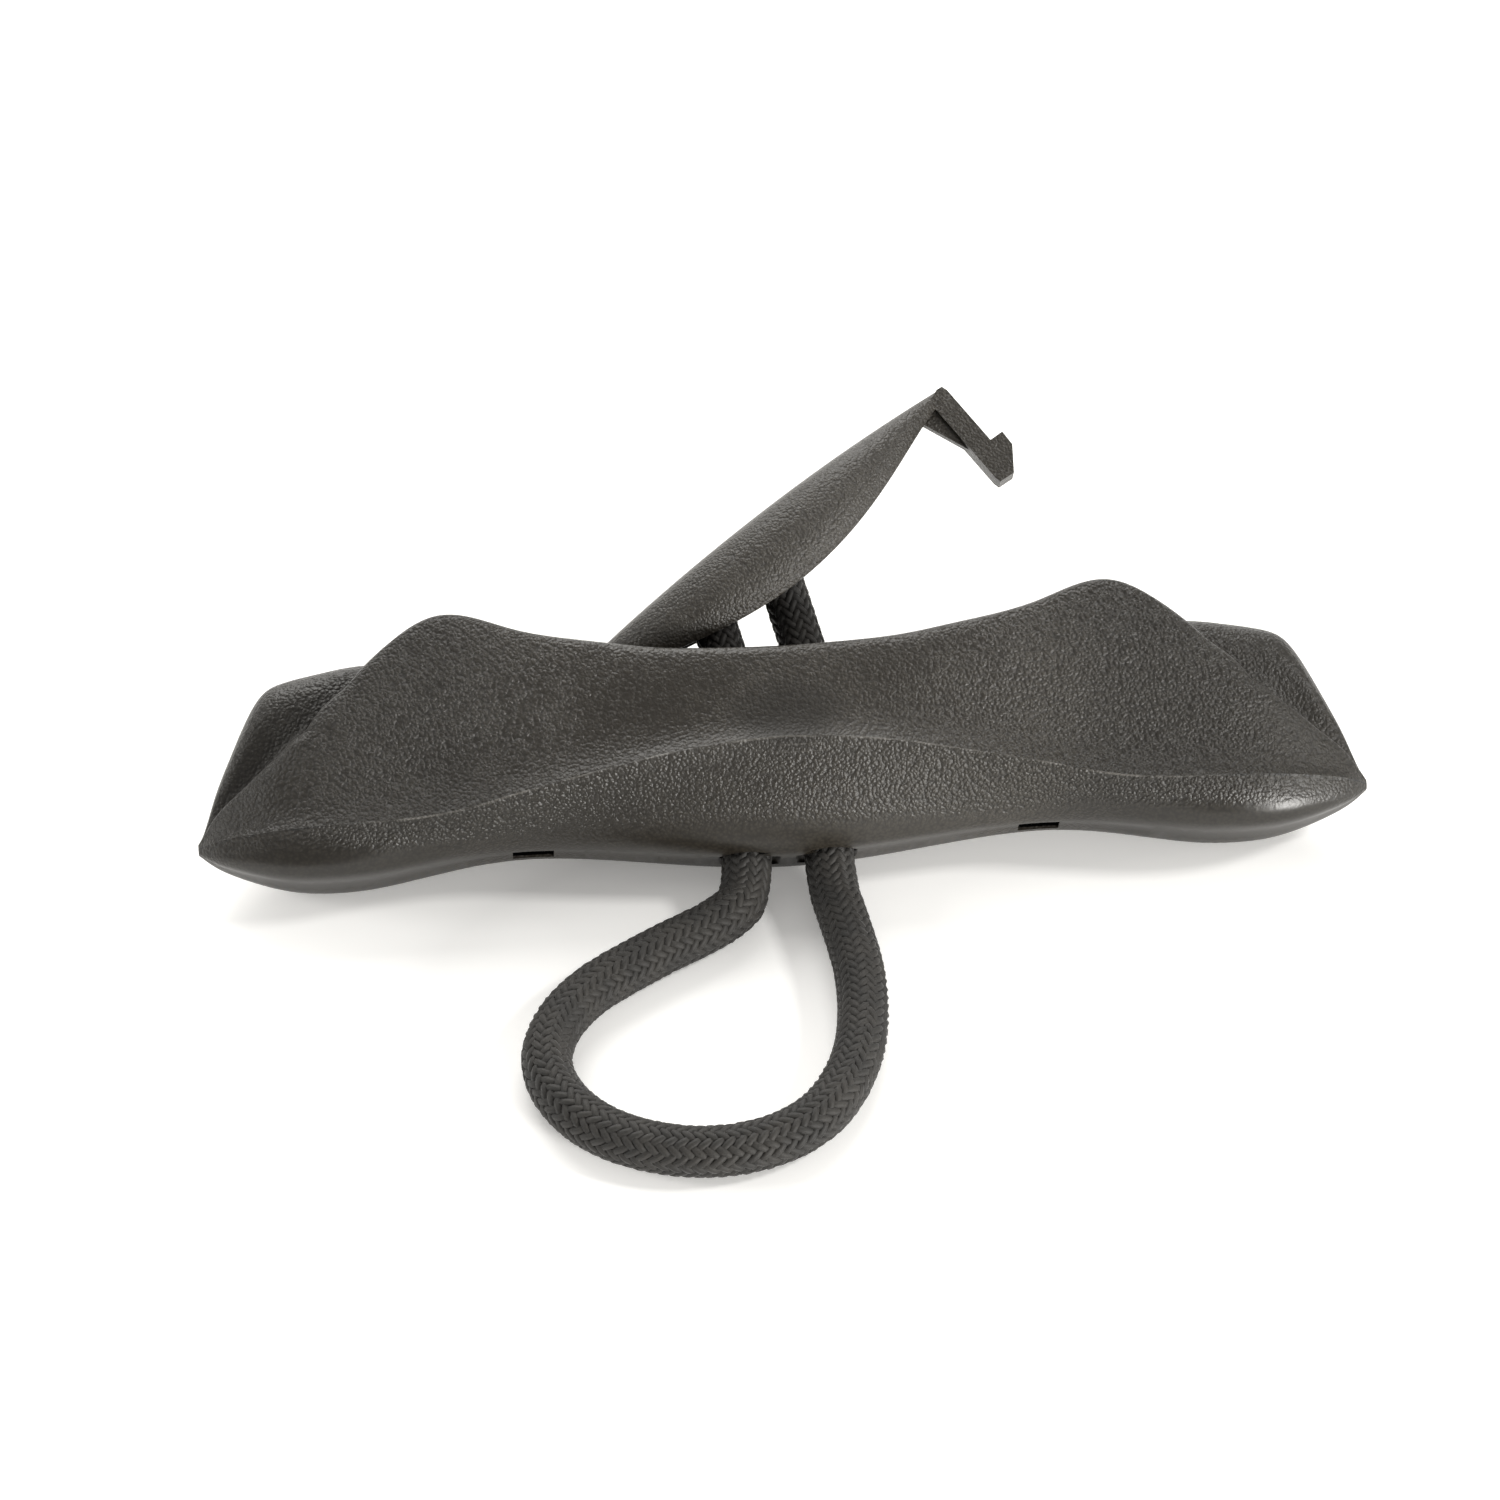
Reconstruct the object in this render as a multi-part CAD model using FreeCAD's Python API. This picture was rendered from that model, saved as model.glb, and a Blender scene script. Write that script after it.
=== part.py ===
import FreeCAD, Part
import math
import os

V = FreeCAD.Vector

# Toggle carry handle: a moulded grip, a snap-in cover over its knot compartment, and a loop of
# braided rope whose two ends are stopped by knots inside the grip. Millimetres throughout.
# The grip is drawn in its own axes: X along the grip, Y towards the palm, Z across the grip.
# The last step tilts it onto its resting points, with the rope lying on the same surface.

# --- driving dimensions -------------------------------------------------------------------
handle_length = 160.0
handle_depth = 34.6         # finger face to the top of the wings
handle_width = 28.0         # across the two side creases
rest_tilt = 30.0            # how far the palm side is tipped up when the handle lies down

cover_length = 69.0
cover_width = 18.6
cover_skirt = 12.1          # how far the front skirt hangs below the crown at mid length
cover_back_skirt = 8.2      # and the back one: the rim is cut on a slant
cover_wall = 1.8
cover_rise = 1.6            # sagitta of the crown line
cover_open = 36.0           # how far the cover stands open at rest, degrees
cover_gap = 0.35            # side clearance between skirts and compartment
pivot_inset = 2.6           # axis the cover swings about, in from its tongue end
pivot_height = 6.4          # and above that end: the tongue slides out from its lip as it swings

tongue_length = 2.6
tongue_thickness = 1.7
lip_thickness = 2.2

hook_width = 3.0
slot_length = 5.6
slot_width = 3.4

rope_diameter = 7.0
tail_diameter = 6.2         # the fused cut ends are drawn in a little
rope_pitch = 11.0           # distance between the two rope holes
bore_clearance = 0.3
floor_thickness = 4.7       # compartment floor where the rope passes
knot_radius = 6.9

# --- scale factors from the overall sizes ----------------------------------------------------
kx = handle_length / 160.0
kp = handle_depth / 34.6
kn = handle_width / 28.0
finger_face = -16.7 * kp
compartment_floor = finger_face + floor_thickness

# Half of the grip's sections, from the middle to one end. Each row: distance from the middle;
# wing crest height and offset; crease height and offset; finger face height and half width;
# spine height; valley height and offset.
stations = [
    (0.0, 10.6, 11.2, -3.2, 14.0, -16.7, 5.5, 7.0, 7.0, 6.0),
    (12.0, 11.0, 11.0, -4.0, 13.5, -16.0, 5.2, 7.0, 7.0, 6.0),
    (24.0, 12.7, 10.4, -5.9, 12.3, -14.7, 4.2, 8.8, 8.6, 6.0),
    (36.0, 15.5, 9.7, -8.2, 10.9, -14.0, 3.7, 9.7, 9.2, 5.9),
    (46.0, 18.1, 9.0, -10.2, 9.9, -14.9, 4.6, 11.9, 10.0, 5.7),
    (52.0, 15.2, 8.7, -10.7, 9.6, -15.9, 5.2, 13.2, 9.4, 5.6),
    (57.0, 10.9, 8.4, -10.8, 9.5, -16.6, 5.6, 13.6, 7.4, 5.6),
    (62.5, 5.9, 7.8, -10.8, 9.1, -16.8, 5.7, 12.9, 4.0, 5.4),
    (67.5, 1.2, 6.7, -10.8, 8.1, -16.4, 5.2, 11.9, 0.0, 4.8),
    (70.3, -1.2, 5.8, -10.8, 7.2, -15.8, 4.6, 10.5, -2.2, 4.2),
    (73.0, -3.4, 4.7, -10.8, 6.0, -15.0, 3.8, 6.4, -4.3, 3.4),
    (75.5, -5.3, 3.6, -10.8, 4.8, -14.1, 3.0, 1.0, -6.1, 2.5),
    (77.5, -7.1, 2.5, -10.9, 3.5, -13.2, 2.1, -3.8, -7.7, 1.7),
    (79.2, -9.3, 1.3, -11.0, 1.8, -12.1, 1.1, -8.8, -9.5, 0.9),
    (80.0, -10.4, 0.6, -11.0, 0.8, -11.5, 0.5, -10.2, -10.5, 0.4),
]


def spline(points):
    curve = Part.BSplineCurve()
    curve.interpolate(points)
    return curve.toShape()


def section_wire(x, row):
    """One closed section of the grip at x: finger face, two lower flanks and the top."""
    wing_p, wing_n, crease_p, crease_n, face_p, face_n, spine_p, valley_p, valley_n = row
    crest = min(1.0, wing_n / 9.0)
    side = [
        (crease_p, crease_n),
        ((crease_p * 0.55 + wing_p * 0.45), (crease_n * 0.5 + wing_n * 0.5) + 0.1 * crest),
        (wing_p - 2.6 * crest, wing_n + 1.2 * crest),
        (wing_p - 0.5 * crest, wing_n + 0.4 * crest),
        (wing_p - 0.35 * crest, wing_n - 1.1 * crest),
        (valley_p * 0.4 + wing_p * 0.6 - 0.6 * crest, wing_n * 0.55 + valley_n * 0.45 - 0.1 * crest),
        (valley_p, valley_n),
        (spine_p * 0.55 + valley_p * 0.45, valley_n * 0.76),
        (spine_p * 0.92 + valley_p * 0.08, valley_n * 0.4),
    ]
    right = [V(x, p * kp, n * kn) for p, n in side]
    left = [V(x, q.y, -q.z) for q in reversed(right)]
    top = right + [V(x, spine_p * kp, 0)] + left
    mid_p = (crease_p * 0.5 + face_p * 0.5) * kp
    mid_n = (crease_n * 0.5 + face_n * 0.5 + 0.07 * (crease_n - face_n)) * kn
    # the finger face runs into the flanks over well rounded corners
    flank = [(mid_p, mid_n)]
    flank.append((0.78 * face_p * kp + 0.22 * mid_p, 1.02 * (0.78 * face_n * kn + 0.22 * mid_n)))
    flank.append((1.012 * face_p * kp, 0.74 * face_n * kn))
    down = [V(x, p, n) for p, n in flank]
    back = [V(x, q.y, -q.z) for q in reversed(down)]
    bottom = [right[0]] + down + [V(x, face_p * kp, 0)] + back + [left[-1]]
    edges = [spline(bottom), spline(top)]
    return Part.Wire(edges)


def lens_wire(p, half_length, half_width):
    """A pointed oval in the X-Z plane at height p."""
    ends = V(-half_length, p, 0), V(half_length, p, 0)
    upper = Part.Arc(ends[0], V(0, p, half_width), ends[1]).toShape()
    lower = Part.Arc(ends[1], V(0, p, -half_width), ends[0]).toShape()
    return Part.Wire([upper, lower])


def box(x0, x1, p0, p1, n0, n1):
    return Part.makeBox(x1 - x0, p1 - p0, n1 - n0, V(x0, p0, n0))


# --- cover, drawn closed ----------------------------------------------------------------------
half_cover = cover_length / 2.0
cover_end_p = 8.9 * kp
pivot_x = -half_cover + pivot_inset
pivot_p = cover_end_p + pivot_height
rim_p = cover_end_p + cover_rise - cover_skirt


def cover_half_width(x):
    """The cover's plan is a pointed oval between two arcs, slightly blunted at its ends."""
    half_width = cover_width / 2.0
    arc_radius = (half_cover ** 2 + half_width ** 2) / (2.0 * half_width)
    oval = math.sqrt(arc_radius ** 2 - x ** 2) - (arc_radius - half_width)
    return oval + 0.5 * (x / half_cover) ** 2


def cover_section(x, inset):
    """Arch-shaped section of the cover at x, inset on all sides by the given amount."""
    middle = 1.0 - (x / half_cover) ** 2
    crown = cover_end_p + cover_rise * middle - inset
    half_width = cover_half_width(x) - inset
    shoulder = 0.42 * (1.6 + (10.4 - 1.6) * middle)
    front_rim, back_rim = [
        1.6 + (depth - 1.6) * middle ** 1.35 + 0.3 * inset for depth in (cover_skirt, cover_back_skirt)
    ]
    arch = [
        V(x, crown - front_rim, 0.82 * half_width),
        V(x, crown - shoulder, 0.99 * half_width),
        V(x, crown - 0.45 * shoulder, 0.84 * half_width),
        V(x, crown - 0.13 * shoulder, 0.48 * half_width),
        V(x, crown, 0),
        V(x, crown - 0.13 * shoulder, -0.48 * half_width),
        V(x, crown - 0.45 * shoulder, -0.84 * half_width),
        V(x, crown - shoulder, -0.99 * half_width),
        V(x, crown - back_rim, -0.85 * half_width),
    ]
    return Part.Wire([spline(arch), Part.makeLine(arch[-1], arch[0])])


outer_places = [-0.985, -0.93, -0.8, -0.6, -0.35, 0.0, 0.35, 0.6, 0.8, 0.93, 0.985]
inner_places = [-0.84, -0.7, -0.45, -0.2, 0.0, 0.2, 0.45, 0.7, 0.84]
outer_cover = Part.makeLoft([cover_section(f * half_cover, 0.0) for f in outer_places], True, False)
inner_cover = Part.makeLoft([cover_section(f * half_cover, cover_wall) for f in inner_places], True, False)
tongue_top = cover_end_p - lip_thickness
tongue = box(-half_cover - tongue_length, -half_cover + 3.4, tongue_top - tongue_thickness, tongue_top,
             -hook_width / 2.0, hook_width / 2.0)
cover = outer_cover.cut(inner_cover).fuse(tongue).removeSplitter()

# Snap hook under the cover's free end: arm, catch with a lead-in tip, and a thin gusset.
hook_profile = [
    (-2.6, 0.9), (-0.7, 0.1), (0.2, 0.2), (0.45, 1.0), (0.45, 10.4), (2.5, 10.5), (2.4, 12.8), (-0.1, 16.1), (-2.4, 15.9), (-2.6, 15.0),
]
gusset_profile = [(-2.6, 1.5), (-6.0, 1.5), (-5.1, 2.7), (-2.6, 9.4)]


def plate(profile, thickness):
    """A flat plate lying in the X-Y plane, its outline given outward and down from the cover's end."""
    corners = [V(half_cover + a, cover_end_p - b, -thickness / 2.0) for a, b in profile]
    outline = Part.Face(Part.makePolygon(corners + corners[:1]))
    return outline.extrude(V(0, 0, thickness))


hook = plate(hook_profile, hook_width).fuse(plate(gusset_profile, 1.2)).cut(cover).removeSplitter()
hook = max(hook.Solids, key=lambda piece: piece.Volume)

# --- grip ----------------------------------------------------------------------------------------
half = [(x * kx, row) for x, *row in stations]
wires = [section_wire(-x, row) for x, row in reversed(half)] + [section_wire(x, row) for x, row in half[1:]]
grip = Part.makeLoft(wires, True, False)

compartment_top = lens_wire(20.0 * kp, half_cover + 2.5, cover_width / 2.0 + cover_gap + 1.15)
compartment_rim = lens_wire(rim_p - 0.7, half_cover + 0.5, cover_width / 2.0)
compartment_base = lens_wire(compartment_floor, half_cover - 3.0, 6.0 * kn)
compartment = Part.makeLoft([compartment_base, compartment_rim], True, True)
compartment = compartment.fuse(Part.makeLoft([compartment_rim, compartment_top], True, True))

ledge_p = cover_end_p - 10.35
hook_channel = box(half_cover - 3.1, half_cover + 0.75, ledge_p - 0.5, 20.0 * kp, -hook_width / 2.0 - 0.3,
                   hook_width / 2.0 + 0.3)
catch_slot = box(half_cover - 2.75, half_cover - 2.75 + slot_length, finger_face - 3.0, ledge_p,
                 -slot_width / 2.0, slot_width / 2.0)
tongue_channel = box(-half_cover - 0.6, -half_cover + 7.0, cover_end_p - 7.0, 20.0 * kp,
                     -hook_width / 2.0 - 0.3, hook_width / 2.0 + 0.3)
tongue_slot = box(-half_cover - slot_length / 2.0 - 0.15, -half_cover + slot_length / 2.0 - 0.15,
                  finger_face - 3.0, tongue_top + 0.1, -slot_width / 2.0, slot_width / 2.0)
grip = grip.cut(compartment)
for cutter in (hook_channel, catch_slot, tongue_channel, tongue_slot):
    grip = grip.cut(cutter)

bore_radius = rope_diameter / 2.0 + bore_clearance
for side in (-1, 1):
    centre = side * rope_pitch / 2.0
    grip = grip.cut(Part.makeCylinder(bore_radius, 12.0, V(centre, finger_face - 3.0, 0), V(0, 1, 0)))
    flare = Part.makeCone(bore_radius + 0.9, bore_radius, 0.9, V(centre, finger_face - 0.2, 0), V(0, 1, 0))
    grip = grip.cut(flare)

# --- rope ----------------------------------------------------------------------------------------
knots = []
for side in (-1, 1):
    stretch = FreeCAD.Matrix()
    stretch.scale(7.0 / knot_radius, 6.6 / knot_radius, 5.9 / knot_radius)
    knot = Part.makeSphere(knot_radius).transformGeometry(stretch)
    knot.translate(V(side * 7.6, compartment_floor + 6.7, 0))
    knots.append(knot)


def rounded_route(points):
    """Straight runs joined by tangent arcs, as one wire, and the arc radii used."""
    edges = []
    radii = []
    start = points[0]
    for before, corner, after in zip(points, points[1:], points[2:]):
        into = (corner - before).normalize()
        away = (after - corner).normalize()
        turn = into.getAngle(away)
        reach = 0.45 * min((corner - before).Length, (after - corner).Length)
        radius = reach / math.tan(turn / 2.0)
        first = corner - into * reach
        last = corner + away * reach
        inward = (away - into).normalize()
        middle = corner + inward * (radius / math.cos(turn / 2.0) - radius)
        edges.append(Part.LineSegment(start, first).toShape())
        edges.append(Part.Arc(first, middle, last).toShape())
        radii.append(radius)
        start = last
    edges.append(Part.LineSegment(start, points[-1]).toShape())
    return Part.Wire(edges), radii


def rope_tube(name, points, diameter):
    route, radii = rounded_route(points)
    heading = (points[1] - points[0]).normalize()
    ring = Part.Wire(Part.makeCircle(diameter / 2.0, points[0], heading))
    tube = route.makePipeShell([ring], True, False)
    if tube.Volume < 0:
        tube.reverse()
    swept = math.pi * diameter ** 2 / 4.0 * route.Length
    print(name, "length", round(route.Length, 1), "radii", [round(r, 1) for r in radii])
    print(name, "volume over section x length", round(tube.Volume / swept, 4))
    return tube


# The two cut ends above the knots: straight up out of the compartment, then leaning to the hinge.
tail_turn = 9.0 * kp
tails = []
for name, x, tail_top in (("rope_tail_left", -5.9, 18.5 * kp), ("rope_tail_right", 4.6, 25.0 * kp)):
    tail_lean = 0.24 * (tail_top - tail_turn)
    tail_points = [V(x, -4.0, 0), V(x, tail_turn, 0), V(x - tail_lean, tail_top, 0)]
    tail = rope_tube(name, tail_points, tail_diameter)
    for knot in knots:
        tail = tail.cut(knot)
    tails.append(max(tail.Solids, key=lambda piece: piece.Volume))

# --- laid down on its resting points -------------------------------------------------------------
tilt = math.radians(rest_tilt)
hinge_point = V(pivot_x, pivot_p, 0)
for moving in (cover, hook):
    moving.rotate(hinge_point, V(0, 0, 1), cover_open)
for shape in (grip, cover, hook, *knots, *tails):
    shape.rotate(V(0, 0, 0), V(1, 0, 0), rest_tilt)
rigid_box = Part.makeCompound([grip, cover, hook]).optimalBoundingBox(False)
lift = V(-rigid_box.Center.x, -rigid_box.Center.y, -grip.optimalBoundingBox(False).ZMin)
for shape in (grip, cover, hook, *knots, *tails):
    shape.translate(lift)


def placed(x, p, n):
    """A point of the grip's own axes after tilting and lifting."""
    return V(x, p * math.cos(tilt) - n * math.sin(tilt), p * math.sin(tilt) + n * math.cos(tilt)) + lift


# The free loop lies on the table. Its bends, from one rope hole round to the other, are given as
# distances along and in front of the middle of the grip.
loop_bends = [
    (-8.9, -23.2), (-20.2, -29.2), (-31.7, -37.2), (-36.0, -48.8), (-29.6, -60.2),
    (-15.3, -65.8), (-1.0, -62.5), (6.7, -51.0), (8.5, -37.3), (6.9, -24.9),
]


def bore_line(x):
    """Two points on a rope hole's axis: inside the knot, and where the axis meets the flat loop."""
    inside = placed(x, compartment_floor + 1.5, 0)
    drop = (inside.z - rope_diameter / 2.0) / math.sin(tilt)
    return inside, inside - V(0, math.cos(tilt), math.sin(tilt)) * drop


start_inside, start_corner = bore_line(-rope_pitch / 2.0)
end_inside, end_corner = bore_line(rope_pitch / 2.0)
table_points = [V(x + lift.x, y + lift.y, rope_diameter / 2.0) for x, y in loop_bends]
loop = rope_tube("rope_loop", [start_inside, start_corner] + table_points + [end_corner, end_inside], rope_diameter)
for knot in knots:
    loop = loop.cut(knot)
loop = max(loop.Solids, key=lambda piece: piece.Volume)

nodes = {
    "grip_body": grip,
    "cover": cover,
    "cover_hook": hook,
    "rope_loop": loop,
    "rope_knot_left": knots[0],
    "rope_knot_right": knots[1],
    "rope_tail_left": tails[0],
    "rope_tail_right": tails[1],
}
os.makedirs("parts", exist_ok=True)
for name, shape in nodes.items():
    solid = shape.Solids[0]
    solid.exportStep("parts/" + name + ".step")
    print(name, len(shape.Solids), shape.isValid(), round(solid.Volume, 1), solid.BoundBox)

axis = V(0, -math.sin(tilt), math.cos(tilt))
print("cover hinge at", placed(pivot_x, pivot_p, 0), "axis", axis)
print("body middle at", lift)
print("rope exits", placed(-rope_pitch / 2.0, finger_face, 0), placed(rope_pitch / 2.0, finger_face, 0))
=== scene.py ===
import math

import bmesh
import bpy
from mathutils import Matrix, Vector


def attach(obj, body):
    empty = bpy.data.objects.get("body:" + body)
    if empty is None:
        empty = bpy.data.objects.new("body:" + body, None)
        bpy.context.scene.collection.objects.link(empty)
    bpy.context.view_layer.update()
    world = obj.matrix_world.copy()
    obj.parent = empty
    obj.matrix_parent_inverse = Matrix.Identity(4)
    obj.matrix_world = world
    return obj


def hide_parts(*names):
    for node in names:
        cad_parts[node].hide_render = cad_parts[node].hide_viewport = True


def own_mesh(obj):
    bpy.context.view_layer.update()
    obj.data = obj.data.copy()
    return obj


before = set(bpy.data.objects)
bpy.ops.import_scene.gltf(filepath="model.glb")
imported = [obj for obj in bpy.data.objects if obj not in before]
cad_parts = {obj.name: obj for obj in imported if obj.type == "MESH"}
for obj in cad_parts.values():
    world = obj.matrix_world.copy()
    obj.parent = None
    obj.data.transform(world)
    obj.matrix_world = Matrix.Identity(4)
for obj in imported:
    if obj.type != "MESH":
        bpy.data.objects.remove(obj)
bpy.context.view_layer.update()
print("frame loaded")

# Where the grip's own middle sits in the frame, and how far the handle is tipped up
gripMiddle = Vector((0.0, -0.0130498, 0.013983))
tiltAngle = math.radians(30)
palmWay = Vector((0, math.cos(tiltAngle), math.sin(tiltAngle)))
frontWay = Vector((0, -math.sin(tiltAngle), math.cos(tiltAngle)))


def onGrip(x, palm, front):
    # millimetres along the grip, towards the palm and towards the front, to a point in the frame
    return gripMiddle + (Vector((x, 0, 0)) + palmWay * palm + frontWay * front) * 0.001


# Camera
cameraLook = {"elevation": 45.0, "azimuth": -4.5, "distance": 0.85, "lens": 148.8,
              "shiftX": -0.02, "shiftY": -0.00667}


def makeCamera(look):
    up, side = math.radians(look["elevation"]), math.radians(look["azimuth"])
    back = Vector((math.sin(side) * math.cos(up), -math.cos(side) * math.cos(up), math.sin(up)))
    data = bpy.data.cameras.new("studioCamera")
    data.lens = look["lens"]
    data.sensor_width = 36
    data.shift_x = look["shiftX"]
    data.shift_y = look["shiftY"]
    data.clip_start = 0.01
    camera = bpy.data.objects.new("studioCamera", data)
    camera.location = gripMiddle + back * look["distance"]
    camera.rotation_euler = (math.pi / 2 - up, 0, side)
    bpy.context.collection.objects.link(camera)
    bpy.context.scene.camera = camera


makeCamera(cameraLook)

# Studio: pale floor, one broad soft light behind and above, a low one in front on each side
studio = {"floorSize": 3.0, "floorColour": (0.95, 0.95, 0.945), "floorGlow": 0.2, "worldStrength": 0.42,
          "lightColour": (1.0, 0.985, 0.955), "aim": (0, -0.02, 0.01),
          "lights": {"behind": ((-0.1, 0.8, 0.7), 0.95, 13.5),
                     "frontRight": ((0.74, -0.88, 0.22), 0.26, 15.0),
                     "sideRight": ((0.8, -0.1, 0.72), 0.16, 4.5),
                     "sideLeft": ((-0.95, 0.0, 0.42), 0.25, 3.0)}}


def makeLight(name, place, size, power, colour):
    data = bpy.data.lights.new(name, "AREA")
    data.shape = "SQUARE"
    data.size = size
    data.energy = power
    data.color = colour
    light = bpy.data.objects.new(name, data)
    light.location = place
    aim = Vector(studio["aim"]) - Vector(place)
    light.rotation_euler = aim.to_track_quat("-Z", "Y").to_euler()
    bpy.context.collection.objects.link(light)


def makeStudio(look):
    mesh = bpy.data.meshes.new("studioFloor")
    shape = bmesh.new()
    bmesh.ops.create_grid(shape, x_segments=1, y_segments=1, size=look["floorSize"])
    shape.to_mesh(mesh)
    shape.free()
    floor = bpy.data.objects.new("studioFloor", mesh)
    bpy.context.collection.objects.link(floor)
    paper = bpy.data.materials.new("palePaper")
    paper.use_nodes = True
    shader = paper.node_tree.nodes["Principled BSDF"]
    shader.inputs["Base Color"].default_value = (*look["floorColour"], 1)
    shader.inputs["Roughness"].default_value = 0.9
    shader.inputs["Specular IOR Level"].default_value = 0.1
    shader.inputs["Emission Color"].default_value = (*look["lightColour"], 1)
    shader.inputs["Emission Strength"].default_value = look["floorGlow"]
    mesh.materials.append(paper)
    world = bpy.data.worlds.new("studioWorld")
    world.use_nodes = True
    world.node_tree.nodes["Background"].inputs["Color"].default_value = (*look["lightColour"], 1)
    world.node_tree.nodes["Background"].inputs["Strength"].default_value = look["worldStrength"]
    bpy.context.scene.world = world
    for name, (place, size, power) in look["lights"].items():
        makeLight(name, place, size, power, look["lightColour"])
    bpy.context.scene.view_settings.view_transform = "Standard"


makeStudio(studio)
print("camera and studio ready")


# Materials
def link(tree, source, target):
    tree.links.new(source, target)


def ramp(tree, source, low, high, lowValue, highValue):
    node = tree.nodes.new("ShaderNodeMapRange")
    node.interpolation_type = "SMOOTHSTEP"
    node.inputs["From Min"].default_value = low
    node.inputs["From Max"].default_value = high
    node.inputs["To Min"].default_value = lowValue
    node.inputs["To Max"].default_value = highValue
    link(tree, source, node.inputs["Value"])
    return node.outputs["Result"]


def maths(tree, operation, first, second, third=0.0):
    node = tree.nodes.new("ShaderNodeMath")
    node.operation = operation
    for socket, value in zip(node.inputs, (first, second, third)):
        if isinstance(value, (int, float)):
            socket.default_value = value
        else:
            link(tree, value, socket)
    return node.outputs["Value"]


gripFinish = {"dark": (0.0135, 0.0112, 0.0082), "light": (0.029, 0.025, 0.0188), "roughness": 0.38,
              "grainSize": 0.00047, "grainDepth": 0.00027, "fineDepth": 0.00006}
coverFinish = {"dark": (0.017, 0.0145, 0.0112), "light": (0.033, 0.0288, 0.0225), "roughness": 0.38,
               "grainSize": 0.0004, "grainDepth": 0.00014, "fineDepth": 0.00006}
# The grain of both, in shares of the grain's size
grainLook = {"warpScale": 0.45, "warpAmount": 1.3, "softness": 0.4, "fineScale": 2.4, "cloudScale": 45}
# Where the grip's finish changes: smooth finger face, finer grain in the middle and at the tips, and
# duller peaks, which also get painted shade that darkens them out to the tips
gripZones = {"smoothBelow": -0.0155, "grainAbove": -0.0115, "smoothRoughness": 0.33,
             "middle": (0.008, 0.036, 0.5), "tips": (0.058, 0.072, 0.45), "peaks": (0.03, 0.048, 0.4),
             "peakPaintedShade": (0.004, 0.0034, 0.0026), "peakDull": 0.2}
# How far the fold between palm and finger sides is towards the palm, from the middle of the handle to its
# end, in millimetres
foldLine = [(0.0, -3.2), (12.0, -4.0), (24.0, -5.9), (36.0, -8.2), (46.0, -10.2), (52.0, -10.7),
            (57.0, -10.8), (80.0, -11.0)]
foldDepth = 12.0
# the fold line's tone: whitened flash with a painted highlight, fading to nearly black towards the ends
flashLook = {"width": 0.00008, "edge": 0.000176, "whitenedAndHighlit": 0.075, "endTone": 0.002, "endToneFrom": (0.05, 0.064),
             "tint": (1.0, 0.93, 0.82), "wanderScale": 260}
gateLook = {"middle": (0.0022, -0.0047), "size": (0.0029, 0.00045), "line": (0.00005, 0.00013),
            "amount": 0.3}
patchLook = {"middle": (0.0004, 0.0003), "size": (0.0092, 0.0062), "colour": (0.006, 0.0048, 0.0034),
             "amount": 0.6, "rougher": 0.12, "duller": 0.14}
slotLook = {"fromMiddle": 0.0345, "middle": (0.0, -0.0094, 0.0), "size": (0.0036, 0.0044, 0.0024),
            "colour": (0.001, 0.001, 0.001)}


def absolute(tree, value):
    return maths(tree, "ABSOLUTE", value, 0.0)


def mix(tree, amount, first, second):
    node = tree.nodes.new("ShaderNodeMix")
    node.data_type = "RGBA"
    for socket, value in ((node.inputs[0], amount), (node.inputs[6], first), (node.inputs[7], second)):
        if isinstance(value, tuple):
            socket.default_value = (*value, 1)
        else:
            link(tree, value, socket)
    return node.outputs[2]


def noise(tree, place, scale, detail):
    node = tree.nodes.new("ShaderNodeTexNoise")
    node.inputs["Scale"].default_value = scale
    node.inputs["Detail"].default_value = detail
    link(tree, place, node.inputs["Vector"])
    return node


def bump(tree, height, depth, before=None, strength=1.0):
    node = tree.nodes.new("ShaderNodeBump")
    node.inputs["Strength"].default_value = strength
    node.inputs["Distance"].default_value = depth
    link(tree, height, node.inputs["Height"])
    if before:
        link(tree, before, node.inputs["Normal"])
    return node.outputs["Normal"]


def gripCoordinates(tree):
    # turns the pattern into the grip's own directions, so that Y is towards the palm
    coords = tree.nodes.new("ShaderNodeTexCoord")
    turn = tree.nodes.new("ShaderNodeMapping")
    turn.vector_type = "TEXTURE"
    turn.inputs["Location"].default_value = gripMiddle
    turn.inputs["Rotation"].default_value = (tiltAngle, 0, 0)
    link(tree, coords.outputs["Object"], turn.inputs["Vector"])
    parts = tree.nodes.new("ShaderNodeSeparateXYZ")
    link(tree, turn.outputs["Vector"], parts.inputs["Vector"])
    return turn.outputs["Vector"], parts.outputs["X"], parts.outputs["Y"], parts.outputs["Z"]


def grainPattern(tree, place, size):
    # rounded pebbles with wandering edges, and a finer roughness over them
    warp = noise(tree, place, grainLook["warpScale"] / size, 2)
    nudge = tree.nodes.new("ShaderNodeVectorMath")
    nudge.operation = "MULTIPLY_ADD"
    nudge.inputs[1].default_value = (grainLook["warpAmount"] * size,) * 3
    link(tree, warp.outputs["Color"], nudge.inputs[0])
    link(tree, place, nudge.inputs[2])
    cells = tree.nodes.new("ShaderNodeTexVoronoi")
    cells.feature = "SMOOTH_F1"
    cells.inputs["Scale"].default_value = 1.0 / size
    cells.inputs["Smoothness"].default_value = grainLook["softness"]
    link(tree, nudge.outputs["Vector"], cells.inputs["Vector"])
    pebbles = maths(tree, "SUBTRACT", 1.0, cells.outputs["Distance"])
    fine = noise(tree, place, grainLook["fineScale"] / size, 3).outputs["Fac"]
    return pebbles, fine


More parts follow.
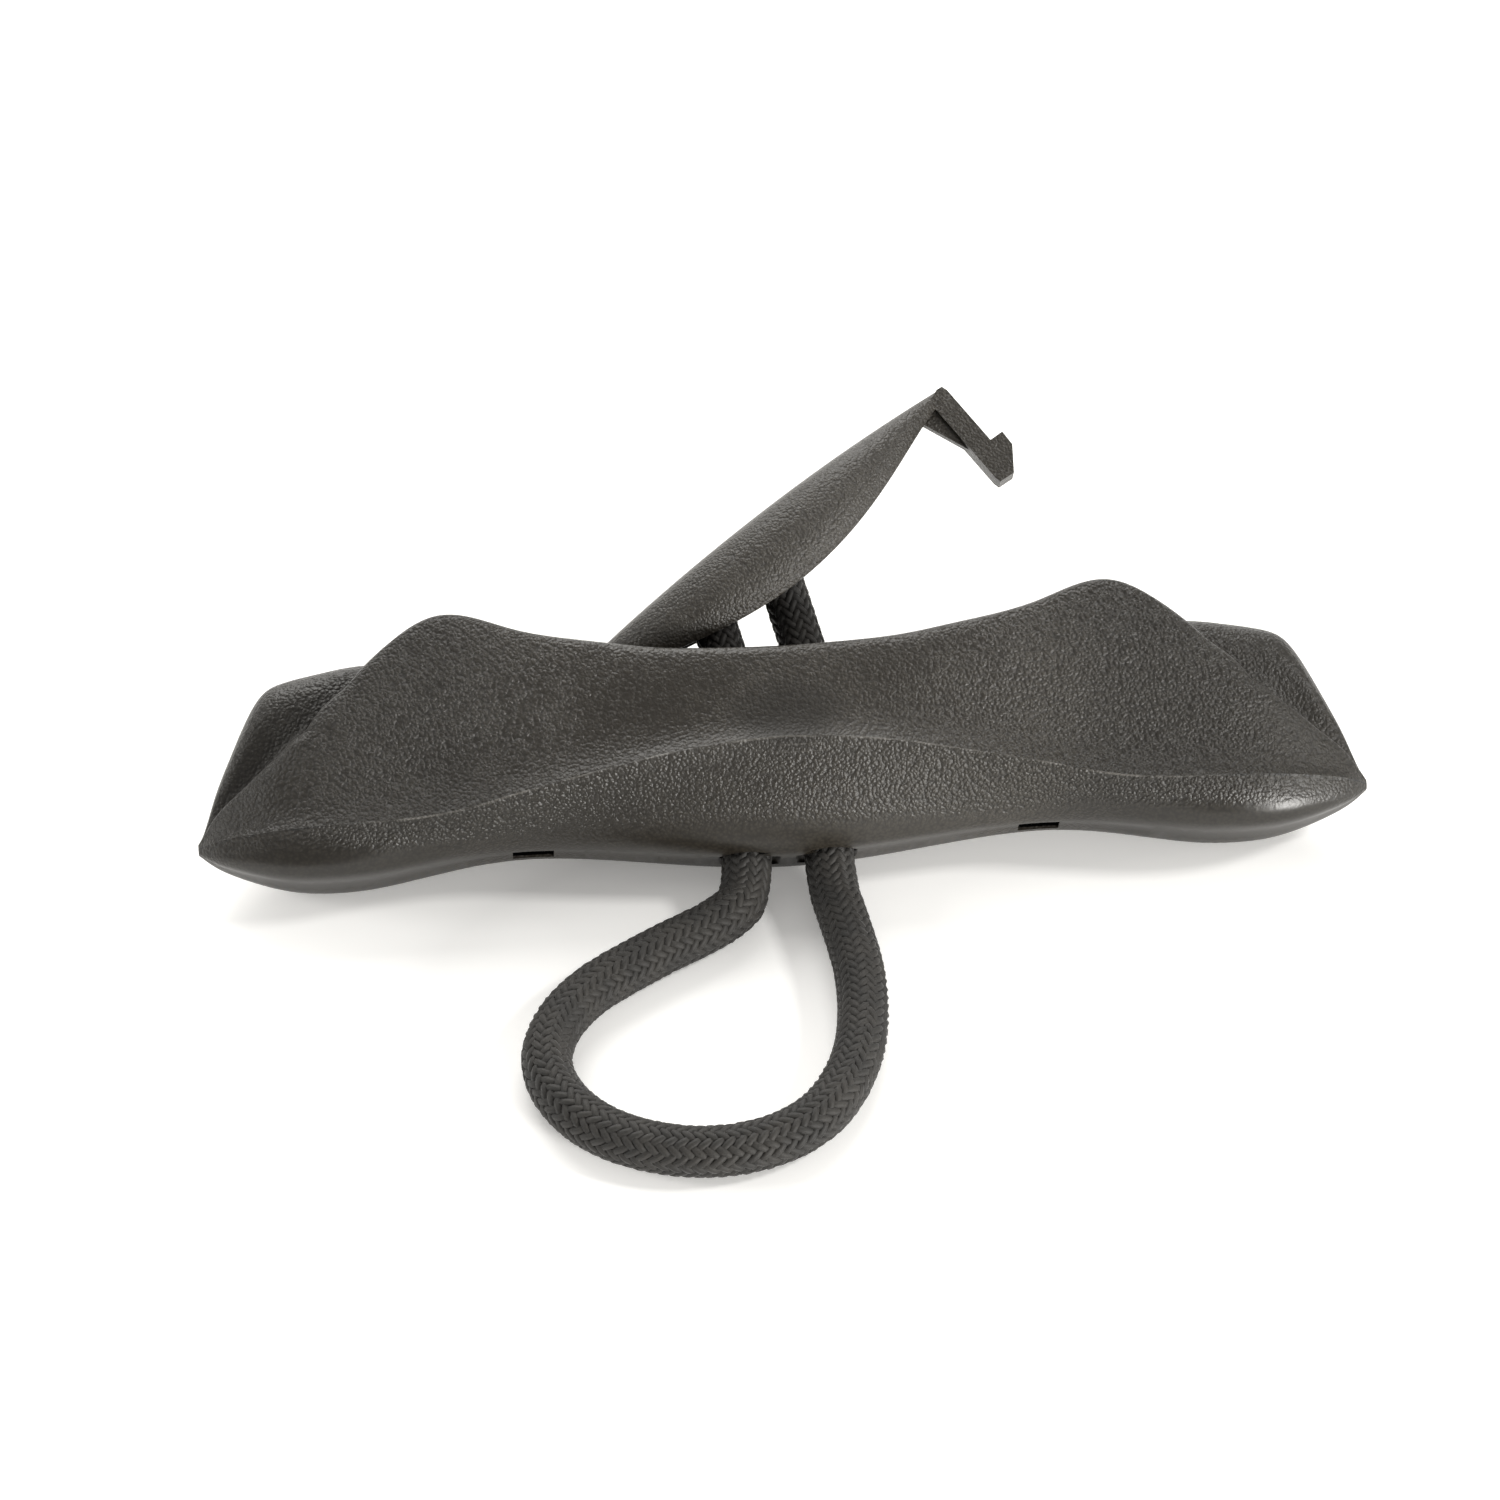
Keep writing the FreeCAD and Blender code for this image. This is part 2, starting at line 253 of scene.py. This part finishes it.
def foldOffset(tree, fromMiddle, y):
    # distance across the handle from the fold, in metres
    curve = tree.nodes.new("ShaderNodeFloatCurve")
    line = curve.mapping.curves[0]
    reach = foldLine[-1][0]
    line.points[0].location = (0, (foldLine[0][1] + foldDepth) / foldDepth)
    line.points[1].location = (1, (foldLine[-1][1] + foldDepth) / foldDepth)
    for along, across in foldLine[1:-1]:
        line.points.new(along / reach, (across + foldDepth) / foldDepth)
    curve.mapping.update()
    link(tree, maths(tree, "DIVIDE", fromMiddle, reach * 0.001), curve.inputs["Value"])
    fold = maths(tree, "MULTIPLY_ADD", curve.outputs["Value"], foldDepth * 0.001, -foldDepth * 0.001)
    return maths(tree, "SUBTRACT", y, fold)


def roundPatch(tree, x, y, middle, size):
    # 1 in the middle of an oval, fading to 0 at its edge
    squares = []
    for value, centre, half in zip((x, y), middle, size):
        share = maths(tree, "DIVIDE", maths(tree, "SUBTRACT", value, centre), half)
        squares.append(maths(tree, "MULTIPLY", share, share))
    return ramp(tree, maths(tree, "ADD", *squares), 0.1, 1.0, 1.0, 0.0)


def outsideBox(tree, values, middle, size):
    # how far a place lies outside a box, below 0 inside it
    most = -1.0
    for value, centre, half in zip(values, middle, size):
        gap = absolute(tree, maths(tree, "SUBTRACT", value, centre))
        most = maths(tree, "MAXIMUM", maths(tree, "SUBTRACT", gap, half), most)
    return most


def mouldingLines(tree, place, x, y, fromMiddle):
    # thin light line of the fold's flash, whitened burrs with a painted highlight, and the gate's edge below
    # it
    fold = absolute(tree, foldOffset(tree, fromMiddle, y))
    broken = noise(tree, place, flashLook["wanderScale"], 3).outputs["Fac"]
    wander = ramp(tree, broken, 0.4, 0.65, 0.0, 1.0)
    narrow = ramp(tree, fold, flashLook["width"], flashLook["edge"], 1.0, 0.0)
    flash = maths(tree, "MULTIPLY", narrow, wander)
    rim = absolute(tree, outsideBox(tree, (x, y), gateLook["middle"], gateLook["size"]))
    gate = maths(tree, "MULTIPLY", ramp(tree, rim, *gateLook["line"], 1.0, 0.0), gateLook["amount"])
    # light in the middle, nearly black towards the ends
    tone = ramp(tree, fromMiddle, *flashLook["endToneFrom"], flashLook["whitenedAndHighlit"], flashLook["endTone"])
    tinted = tree.nodes.new("ShaderNodeCombineColor")
    for socket, share in zip(tinted.inputs, flashLook["tint"]):
        link(tree, maths(tree, "MULTIPLY", tone, share), socket)
    return maths(tree, "MAXIMUM", flash, gate), tinted.outputs["Color"]


def newMaterial(name):
    material = bpy.data.materials.new(name)
    material.use_nodes = True
    return material, material.node_tree, material.node_tree.nodes["Principled BSDF"]


def mouldedPlastic(name, look, isGrip):
    material, tree, shader = newMaterial(name)
    place, x, y, z = gripCoordinates(tree)
    pebbles, fine = grainPattern(tree, place, look["grainSize"])
    clouds = noise(tree, place, grainLook["cloudScale"], 4).outputs["Fac"]
    grainHere = ramp(tree, clouds, 0.35, 0.65, 0.75, 1.15)
    rough = ramp(tree, clouds, 0.3, 0.7, look["roughness"] - 0.05, look["roughness"] + 0.06)
    worn = ramp(tree, maths(tree, "MULTIPLY", clouds, pebbles), 0.1, 0.5, 0.0, 1.0)
    colour = mix(tree, worn, look["dark"], look["light"])
    if isGrip:
        fromMiddle = absolute(tree, x)
        grained = ramp(tree, y, gripZones["smoothBelow"], gripZones["grainAbove"], 0.0, 1.0)
        start, stop, least = gripZones["middle"]
        ends = ramp(tree, fromMiddle, start, stop, least, 1.0)
        start, stop, least = gripZones["tips"]
        ends = maths(tree, "MULTIPLY", ends, ramp(tree, fromMiddle, start, stop, 1.0, least))
        grainHere = maths(tree, "MULTIPLY", grainHere, maths(tree, "MULTIPLY", ends, grained))
        fine = maths(tree, "MULTIPLY", fine, maths(tree, "MULTIPLY_ADD", grained, 0.95, 0.05))
        smooth = maths(tree, "MULTIPLY", maths(tree, "SUBTRACT", 1.0, grained), gripZones["smoothRoughness"])
        rough = maths(tree, "MULTIPLY_ADD", rough, grained, smooth)
        # dark spot by the gate, and painted shade that darkens the peaks
        patch = roundPatch(tree, x, y, patchLook["middle"], patchLook["size"])
        colour = mix(tree, maths(tree, "MULTIPLY", patch, patchLook["amount"]), colour, patchLook["colour"])
        rough = maths(tree, "MULTIPLY_ADD", patch, patchLook["rougher"], rough)
        # painted shade: the peaks and the ends past them are darkened in colour, and made duller
        start, stop, most = gripZones["peaks"]
        peaks = ramp(tree, fromMiddle, start, stop, 0.0, most)
        colour = mix(tree, peaks, colour, gripZones["peakPaintedShade"])
        lines, lineColour = mouldingLines(tree, place, x, y, fromMiddle)
        colour = mix(tree, lines, colour, lineColour)
        # hardly any light gets into the two narrow slots
        fromSlot = maths(tree, "SUBTRACT", fromMiddle, slotLook["fromMiddle"])
        outside = outsideBox(tree, (fromSlot, y, z), slotLook["middle"], slotLook["size"])
        inside = maths(tree, "LESS_THAN", outside, 0.0)
        colour = mix(tree, inside, colour, slotLook["colour"])
        shine = maths(tree, "SUBTRACT", 0.5, maths(tree, "MULTIPLY", patch, patchLook["duller"]))
        shine = maths(tree, "SUBTRACT", shine, maths(tree, "MULTIPLY", peaks, gripZones["peakDull"]))
        shine = maths(tree, "MULTIPLY", shine, maths(tree, "SUBTRACT", 1.0, inside))
        link(tree, shine, shader.inputs["Specular IOR Level"])
    normal = bump(tree, maths(tree, "MULTIPLY", pebbles, grainHere), look["grainDepth"])
    link(tree, bump(tree, fine, look["fineDepth"], normal), shader.inputs["Normal"])
    link(tree, colour, shader.inputs["Base Color"])
    link(tree, rough, shader.inputs["Roughness"])
    shader.inputs["IOR"].default_value = 1.5
    return material


ropeFinish = {"dark": (0.0035, 0.003, 0.0024), "light": (0.0185, 0.016, 0.013), "roughness": 0.66,
              "sheen": 0.08, "fibreScale": 3200, "fadeScale": 240, "fibreDepth": 0.00006}


def ropeYarn(name, look):
    material, tree, shader = newMaterial(name)
    place = tree.nodes.new("ShaderNodeTexCoord").outputs["Object"]
    fibres = noise(tree, place, look["fibreScale"], 3).outputs["Fac"]
    fade = noise(tree, place, look["fadeScale"], 2).outputs["Fac"]
    amount = maths(tree, "MULTIPLY", fibres, ramp(tree, fade, 0.3, 0.7, 0.5, 1.6))
    link(tree, mix(tree, amount, look["dark"], look["light"]), shader.inputs["Base Color"])
    link(tree, bump(tree, fibres, look["fibreDepth"], strength=0.9), shader.inputs["Normal"])
    shader.inputs["Roughness"].default_value = look["roughness"]
    shader.inputs["Sheen Weight"].default_value = look["sheen"]
    shader.inputs["Sheen Roughness"].default_value = 0.5
    return material


gripPlastic = mouldedPlastic("gripPlastic", gripFinish, isGrip=True)
coverPlastic = mouldedPlastic("coverPlastic", coverFinish, isGrip=False)
ropeFibre = ropeYarn("ropeFibre", ropeFinish)
print("materials ready")

# Plastic mouldings keep their CAD shape and get the grained finish
for node, finish in (("grip_body", gripPlastic), ("cover", coverPlastic), ("cover_hook", coverPlastic)):
    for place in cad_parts[node].material_slots:
        place.material = finish
print("mouldings finished")

# Rope. The free loop's bends are the ones its tube follows, in metres from the grip's middle.
ropeLook = {"diameter": 0.007, "carriers": 16, "pitch": 0.0235, "yarnRadius": 0.00062,
            "lift": 0.0002, "crossing": 1.6, "perTurn": 68, "coreEvery": 6, "holeSpacing": 11.0,
            "insideEnd": -10.5, "fingerFace": -16.7, "length": 0.150}
loopBends = [(-0.0089, -0.0232), (-0.0202, -0.0292), (-0.0317, -0.0372), (-0.036, -0.0488),
             (-0.0296, -0.0602), (-0.0153, -0.0658), (-0.001, -0.0625), (0.0067, -0.051),
             (0.0085, -0.0373), (0.0069, -0.0249)]


def boreLine(x):
    # inside the knot, and where the hole's axis comes down to the loop's height
    inside = onGrip(x, ropeLook["insideEnd"], 0)
    drop = (inside.z - ropeLook["diameter"] / 2) / math.sin(tiltAngle)
    return inside, inside - palmWay * drop


def loopRoute():
    half = ropeLook["holeSpacing"] / 2
    startInside, startCorner = boreLine(-half)
    endInside, endCorner = boreLine(half)
    flat = [Vector((x, gripMiddle.y + y, ropeLook["diameter"] / 2)) for x, y in loopBends]
    return [startInside, startCorner] + flat + [endCorner, endInside]


def meshOf(curve):
    # the mesh that a curve makes; the curve's own object isn't kept
    holder = bpy.data.objects.new(curve.name, curve)
    bpy.context.collection.objects.link(holder)
    bpy.context.view_layer.update()
    mesh = bpy.data.meshes.new_from_object(holder)
    bpy.data.objects.remove(holder)
    return mesh


def newCurve(name, thickness=0.0, roundness=0):
    curve = bpy.data.curves.new(name, "CURVE")
    curve.dimensions = "3D"
    curve.bevel_depth = thickness
    curve.bevel_resolution = roundness
    curve.use_fill_caps = True
    return curve


def addSpline(curve, kind, points):
    spline = curve.splines.new(kind)
    spline.points.add(len(points) - 1)
    for control, point in zip(spline.points, points):
        control.co = (*point, 1)
    return spline


def smoothLine(name, points, closed=False):
    curve = newCurve(name)
    curve.resolution_u = 24
    spline = addSpline(curve, "NURBS", points)
    spline.order_u = 3
    spline.use_cyclic_u = closed
    spline.use_endpoint_u = not closed
    mesh = meshOf(curve)
    line = [vertex.co.copy() for vertex in mesh.vertices]
    bpy.data.meshes.remove(mesh)
    return line


def lineFrames(line):
    # a direction along the line and one across it at each point, carried along without twist
    along = []
    for index in range(len(line)):
        ahead = line[min(index + 1, len(line) - 1)]
        behind = line[max(index - 1, 0)]
        along.append((ahead - behind).normalized())
    across = [along[0].orthogonal().normalized()]
    for index in range(1, len(line)):
        swing = along[index - 1].rotation_difference(along[index])
        turned = swing @ across[-1]
        across.append((turned - along[index] * turned.dot(along[index])).normalized())
    return along, across


def spacedAlong(line, step):
    # equal steps along the line, with the directions at each
    along, across = lineFrames(line)
    places = []
    travelled = 0.0
    nextStop = 0.0
    for index in range(len(line) - 1):
        gap = (line[index + 1] - line[index]).length
        while nextStop <= travelled + gap and gap > 0:
            share = (nextStop - travelled) / gap
            point = line[index].lerp(line[index + 1], share)
            forward = along[index].lerp(along[index + 1], share).normalized()
            sideways = across[index].lerp(across[index + 1], share).normalized()
            places.append((nextStop, point, forward, sideways))
            nextStop += step
        travelled += gap
    return places


def yarnPath(places, look, core, carrier, way):
    # one yarn's way round the rope, rising over two of the crossing yarns and dipping under the next two
    count = look["carriers"]
    points = []
    for travelled, point, forward, sideways in places:
        turn = 2 * math.pi * travelled / look["pitch"]
        angle = 2 * math.pi * carrier / count + way * turn
        weave = math.cos(count * turn / 2 - way * math.pi / 4 + math.pi * carrier)
        reach = core + look["lift"] * way * max(-1.0, min(1.0, look["crossing"] * weave))
        other = forward.cross(sideways)
        points.append(point + (sideways * math.cos(angle) + other * math.sin(angle)) * reach)
    return points


def braid(name, line, look, thickness=1.0):
    # yarns wound both ways round the line over a plain core, which closes the small gaps between them
    radius = look["diameter"] / 2 * thickness
    yarnRadius = look["yarnRadius"] * thickness
    core = radius - yarnRadius - look["lift"]
    places = spacedAlong(line, look["pitch"] / look["perTurn"])
    yarns = newCurve(name, yarnRadius, 1)
    for way in (1, -1):
        for carrier in range(look["carriers"]):
            addSpline(yarns, "POLY", yarnPath(places, look, core, carrier, way))
    inner = newCurve(name + "Core", core, 2)
    addSpline(inner, "POLY", [place[1] for place in places[::look["coreEvery"]] + [places[-1]]])
    mesh = meshOf(yarns)
    joined = bmesh.new()
    joined.from_mesh(mesh)
    joined.from_mesh(meshOf(inner))
    for face in joined.faces:
        face.smooth = True
        face.material_index = 0
    bmesh.ops.recalc_face_normals(joined, faces=joined.faces)
    joined.to_mesh(mesh)
    joined.free()
    mesh.name = name
    mesh.materials.clear()
    mesh.materials.append(ropeFibre)
    piece = bpy.data.objects.new(name, mesh)
    bpy.context.collection.objects.link(piece)
    return piece


loopLine = smoothLine("loopRoute", loopRoute())
ropeLoop = braid("ropeLoop", loopLine, ropeLook)
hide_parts("rope_loop")
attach(ropeLoop, "handle")
print("rope loop ready")

# Tails: the two cut ends, straight up from the knots and then leaning to the cover's tongue end
tailLook = {"turn": 9.0, "straight": 6.0, "lean": 0.25, "thickness": 0.0032 / 0.0035, "foot": -4.0,
            "keep": 0.33}
for name, node, x, top in (("ropeTailLeft", "rope_tail_left", -5.9, 18.5),
                            ("ropeTailRight", "rope_tail_right", 5.1, 25.0)):
    lean = tailLook["lean"] * (top - tailLook["turn"])
    foot = onGrip(x, tailLook["foot"], 0)
    line = smoothLine(name + "Route", [
        foot,
        onGrip(x, tailLook["turn"] - tailLook["straight"], 0),
        onGrip(x - 0.1, tailLook["turn"], 0),
        onGrip(x - lean / 2, (tailLook["turn"] + top) / 2, 0),
        onGrip(x - lean, top, 0)])
    tail = braid(name, line, ropeLook, tailLook["thickness"])
    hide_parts(node)
    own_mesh(tail)
    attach(tail, "handle")

# Stopper knots: the rope turned tightly over and under itself, filling the knot's solid
knotLook = {"across": 3.7, "deep": 2.6, "centre": -5.3, "side": 7.6, "thickness": 0.9, "bends": 12,
            "spreadX": 2.6, "spreadY": 2.75}


def knotBends(side, look):
    bends = []
    for step in range(look["bends"]):
        turn = 2 * math.pi * step / look["bends"]
        along = look["across"] * (math.sin(turn) + 2 * math.sin(2 * turn)) / look["spreadX"]
        palm = look["across"] * (math.cos(turn) - 2 * math.cos(2 * turn)) / look["spreadY"]
        deep = -look["deep"] * math.sin(3 * turn)
        bends.append(onGrip(side * look["side"] + along, look["centre"] + palm, deep))
    return bends


for name, node, side in (("ropeKnotLeft", "rope_knot_left", -1), ("ropeKnotRight", "rope_knot_right", 1)):
    line = smoothLine(name + "Route", knotBends(side, knotLook), closed=True)
    knot = braid(name, line + line[:1], ropeLook, knotLook["thickness"])
    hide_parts(node)
    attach(knot, "handle")

print("knots and tails ready")
